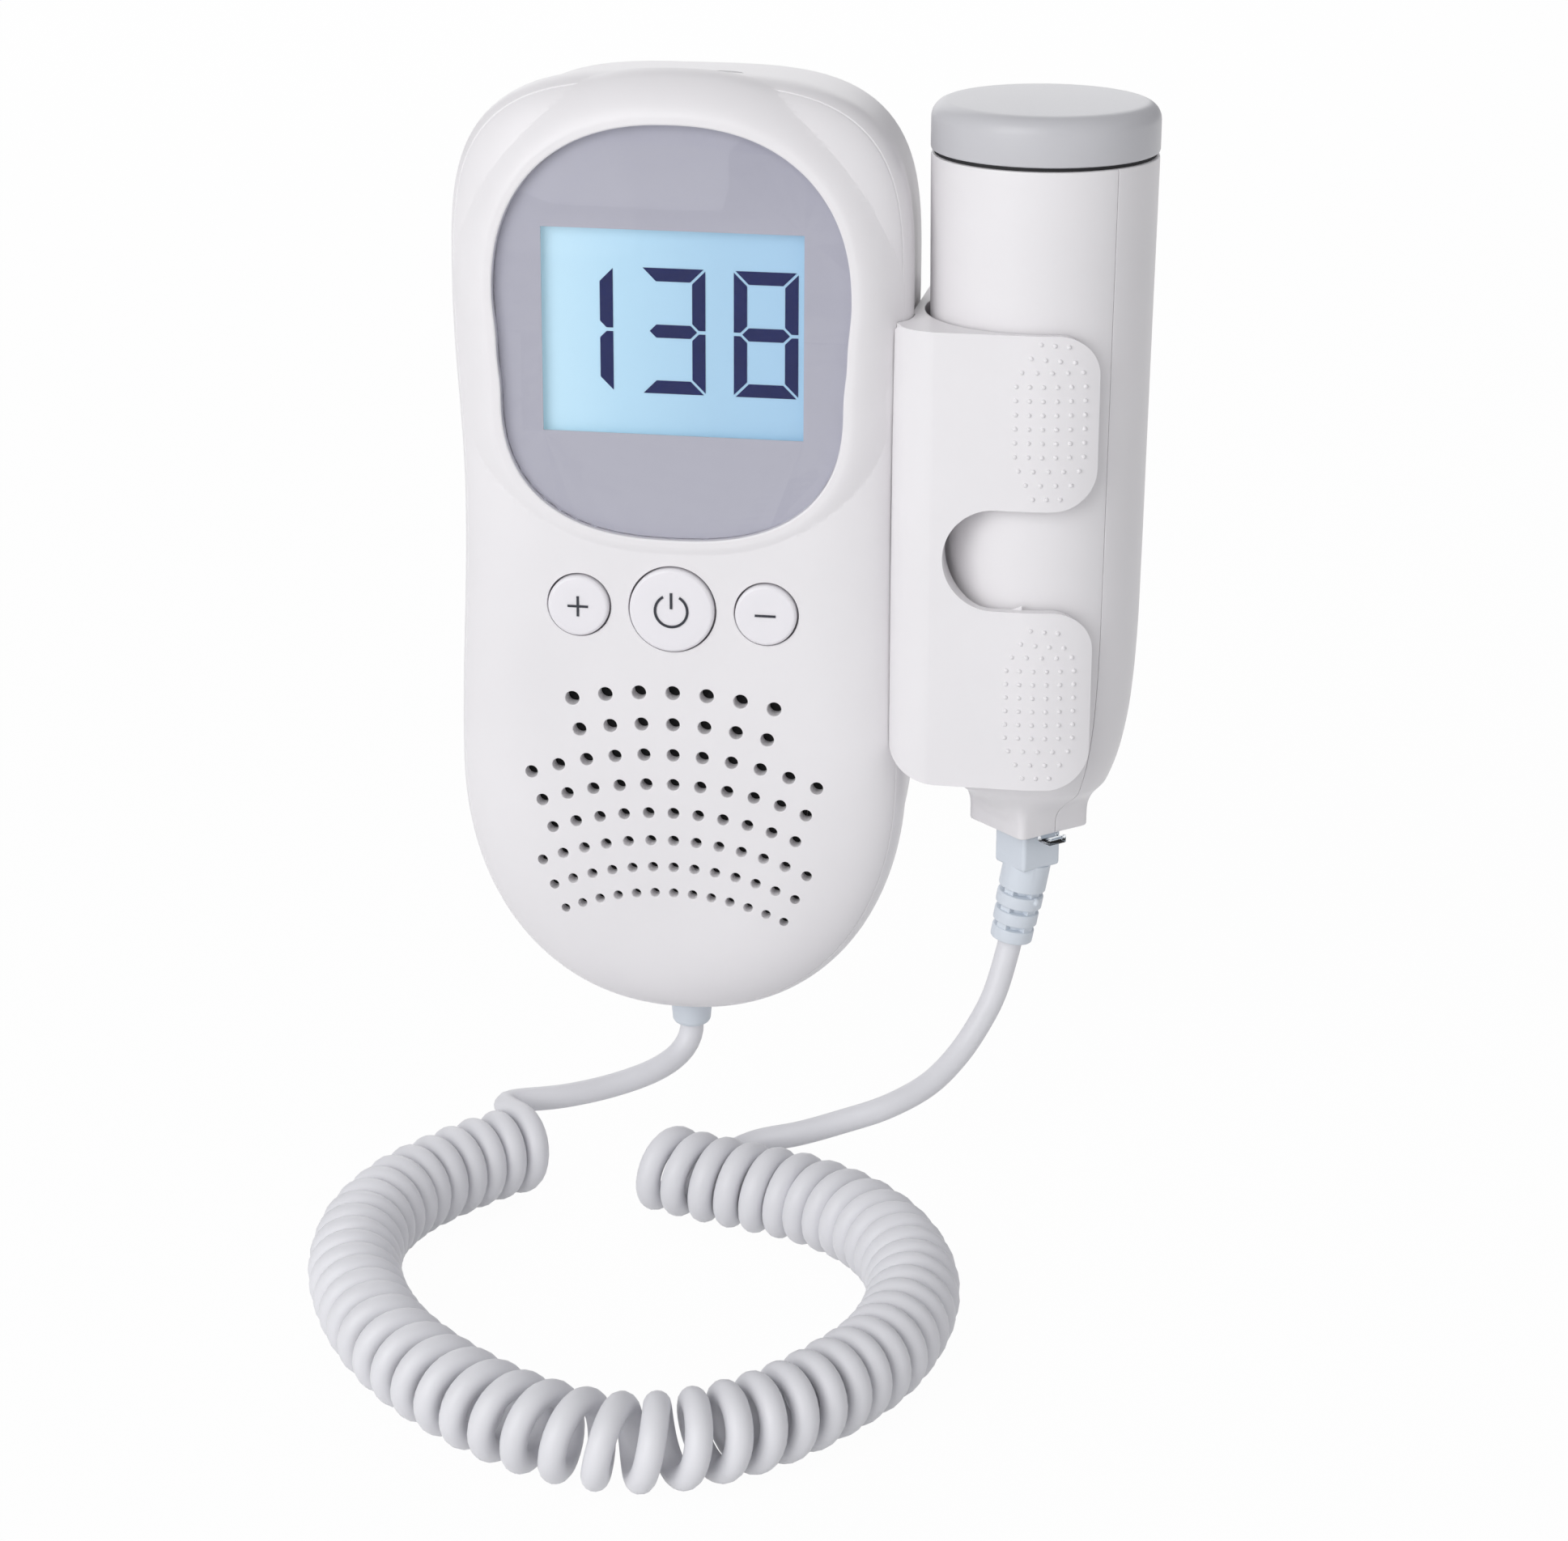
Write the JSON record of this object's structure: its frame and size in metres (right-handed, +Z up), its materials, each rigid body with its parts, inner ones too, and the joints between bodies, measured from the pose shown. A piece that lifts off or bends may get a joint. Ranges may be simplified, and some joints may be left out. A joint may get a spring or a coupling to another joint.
{
  "type": "fetal doppler",
  "caption": "Hand-held fetal doppler: waisted white case with display, keys and speaker, side holder with cylindrical probe, and a curly cord from case to probe.",
  "frame": {"origin": "middle of the flat seat on the back of the case, above the battery door, on the case's centre line", "axes": "+Z up along the case, +Y out of the case's back, the display faces -Y, the probe is on the +X side"},
  "size_m": [0.106, 0.1299, 0.1589],
  "materials": {
    "shell_white": "satin moulded ABS",
    "key_white": "satin moulded ABS",
    "holder_white": "matt moulded ABS",
    "cap_grey": "matt soft-touch cap",
    "window_clear": "clear glossy window",
    "mask_grey": "printed mask",
    "lcd_blue": "backlit display",
    "lcd_ink": "dark segments",
    "symbol_ink": "printed symbols",
    "frame_white": "reflector plastic",
    "board_green": "glass-epoxy board",
    "chip_black": "moulded black",
    "cloth_black": "woven dust cloth",
    "cone_black": "paper cone",
    "steel": "plated steel",
    "cell_sleeve": "printed cell sleeve",
    "seal_rubber": "black rubber",
    "crystal": "ceramic crystal",
    "backing": "damping backing",
    "plug_clear": "clear moulded plastic",
    "contact_gold": "gold-plated contacts",
    "relief_grey": "soft overmould",
    "cord_grey": "matt cord jacket"
  },
  "bodies": {
    "unit": {"front_shell": "shell_white", "rear_shell": "shell_white", "display_window": "window_clear", "window_mask": "mask_grey", "lcd_glass": "lcd_blue", "lcd_segments": "lcd_ink", "lcd_frame": "frame_white", "lcd_backlight": "frame_white", "main_board": "board_green", "board_chips": "chip_black", "board_screws": "steel", "key_switches": "chip_black", "speaker_cloth": "cloth_black", "speaker_basket": "steel", "speaker_cone": "cone_black", "speaker_magnet": "steel", "headphone_socket": "chip_black", "battery_cells": "cell_sleeve", "battery_springs": "steel", "battery_contacts": "steel", "case_screws": "steel", "holder_screws": "steel", "probe_holder": "holder_white", "cord_gland": "relief_grey", "cord_clamp": "steel", "cord_lead_unit": "cord_grey", "cord_coil": "cord_grey", "cord_lead_probe": "cord_grey"},
    "plus_button": {"plus_key": "key_white", "plus_mark": "symbol_ink"},
    "power_button": {"power_key": "key_white", "power_mark": "symbol_ink"},
    "minus_button": {"minus_key": "key_white", "minus_mark": "symbol_ink"},
    "battery_door": {"battery_door": "shell_white"},
    "probe": {"probe_front_shell": "shell_white", "probe_rear_shell": "shell_white", "probe_cap": "cap_grey", "probe_seal": "seal_rubber", "probe_crystals": "crystal", "crystal_backing": "backing", "probe_board": "board_green", "probe_socket": "chip_black", "plug_body": "plug_clear", "plug_contacts": "contact_gold", "plug_overmould": "relief_grey"},
    "plug_latch": {"plug_latch": "plug_clear"}
  },
  "joints": [
    {"name": "plus_press", "type": "slide", "parent": "unit", "child": "plus_button", "axis": [0, 1, 0], "range_m": [0, 0.0008], "stiffness_N_per_m": 400},
    {"name": "power_press", "type": "slide", "parent": "unit", "child": "power_button", "axis": [0, 1, 0], "range_m": [0, 0.0008], "stiffness_N_per_m": 400},
    {"name": "minus_press", "type": "slide", "parent": "unit", "child": "minus_button", "axis": [0, 1, 0], "range_m": [0, 0.0008], "stiffness_N_per_m": 400},
    {"name": "battery_door_hinge", "type": "hinge", "parent": "unit", "child": "battery_door", "pos_m": [0, -0.00105, -0.08005], "axis": [-1, 0, 0], "range_deg": [0, 75]},
    {"name": "probe_lift", "type": "slide", "parent": "unit", "child": "probe", "axis": [0, 0, 1], "range_m": [0, 0.08]},
    {"name": "latch_flex", "type": "hinge", "parent": "probe", "child": "plug_latch", "pos_m": [0.051, -0.0199, -0.061], "axis": [0.7071, 0.7071, 0], "range_deg": [0, 3], "stiffness_Nm_per_rad": 0.02}
  ]
}
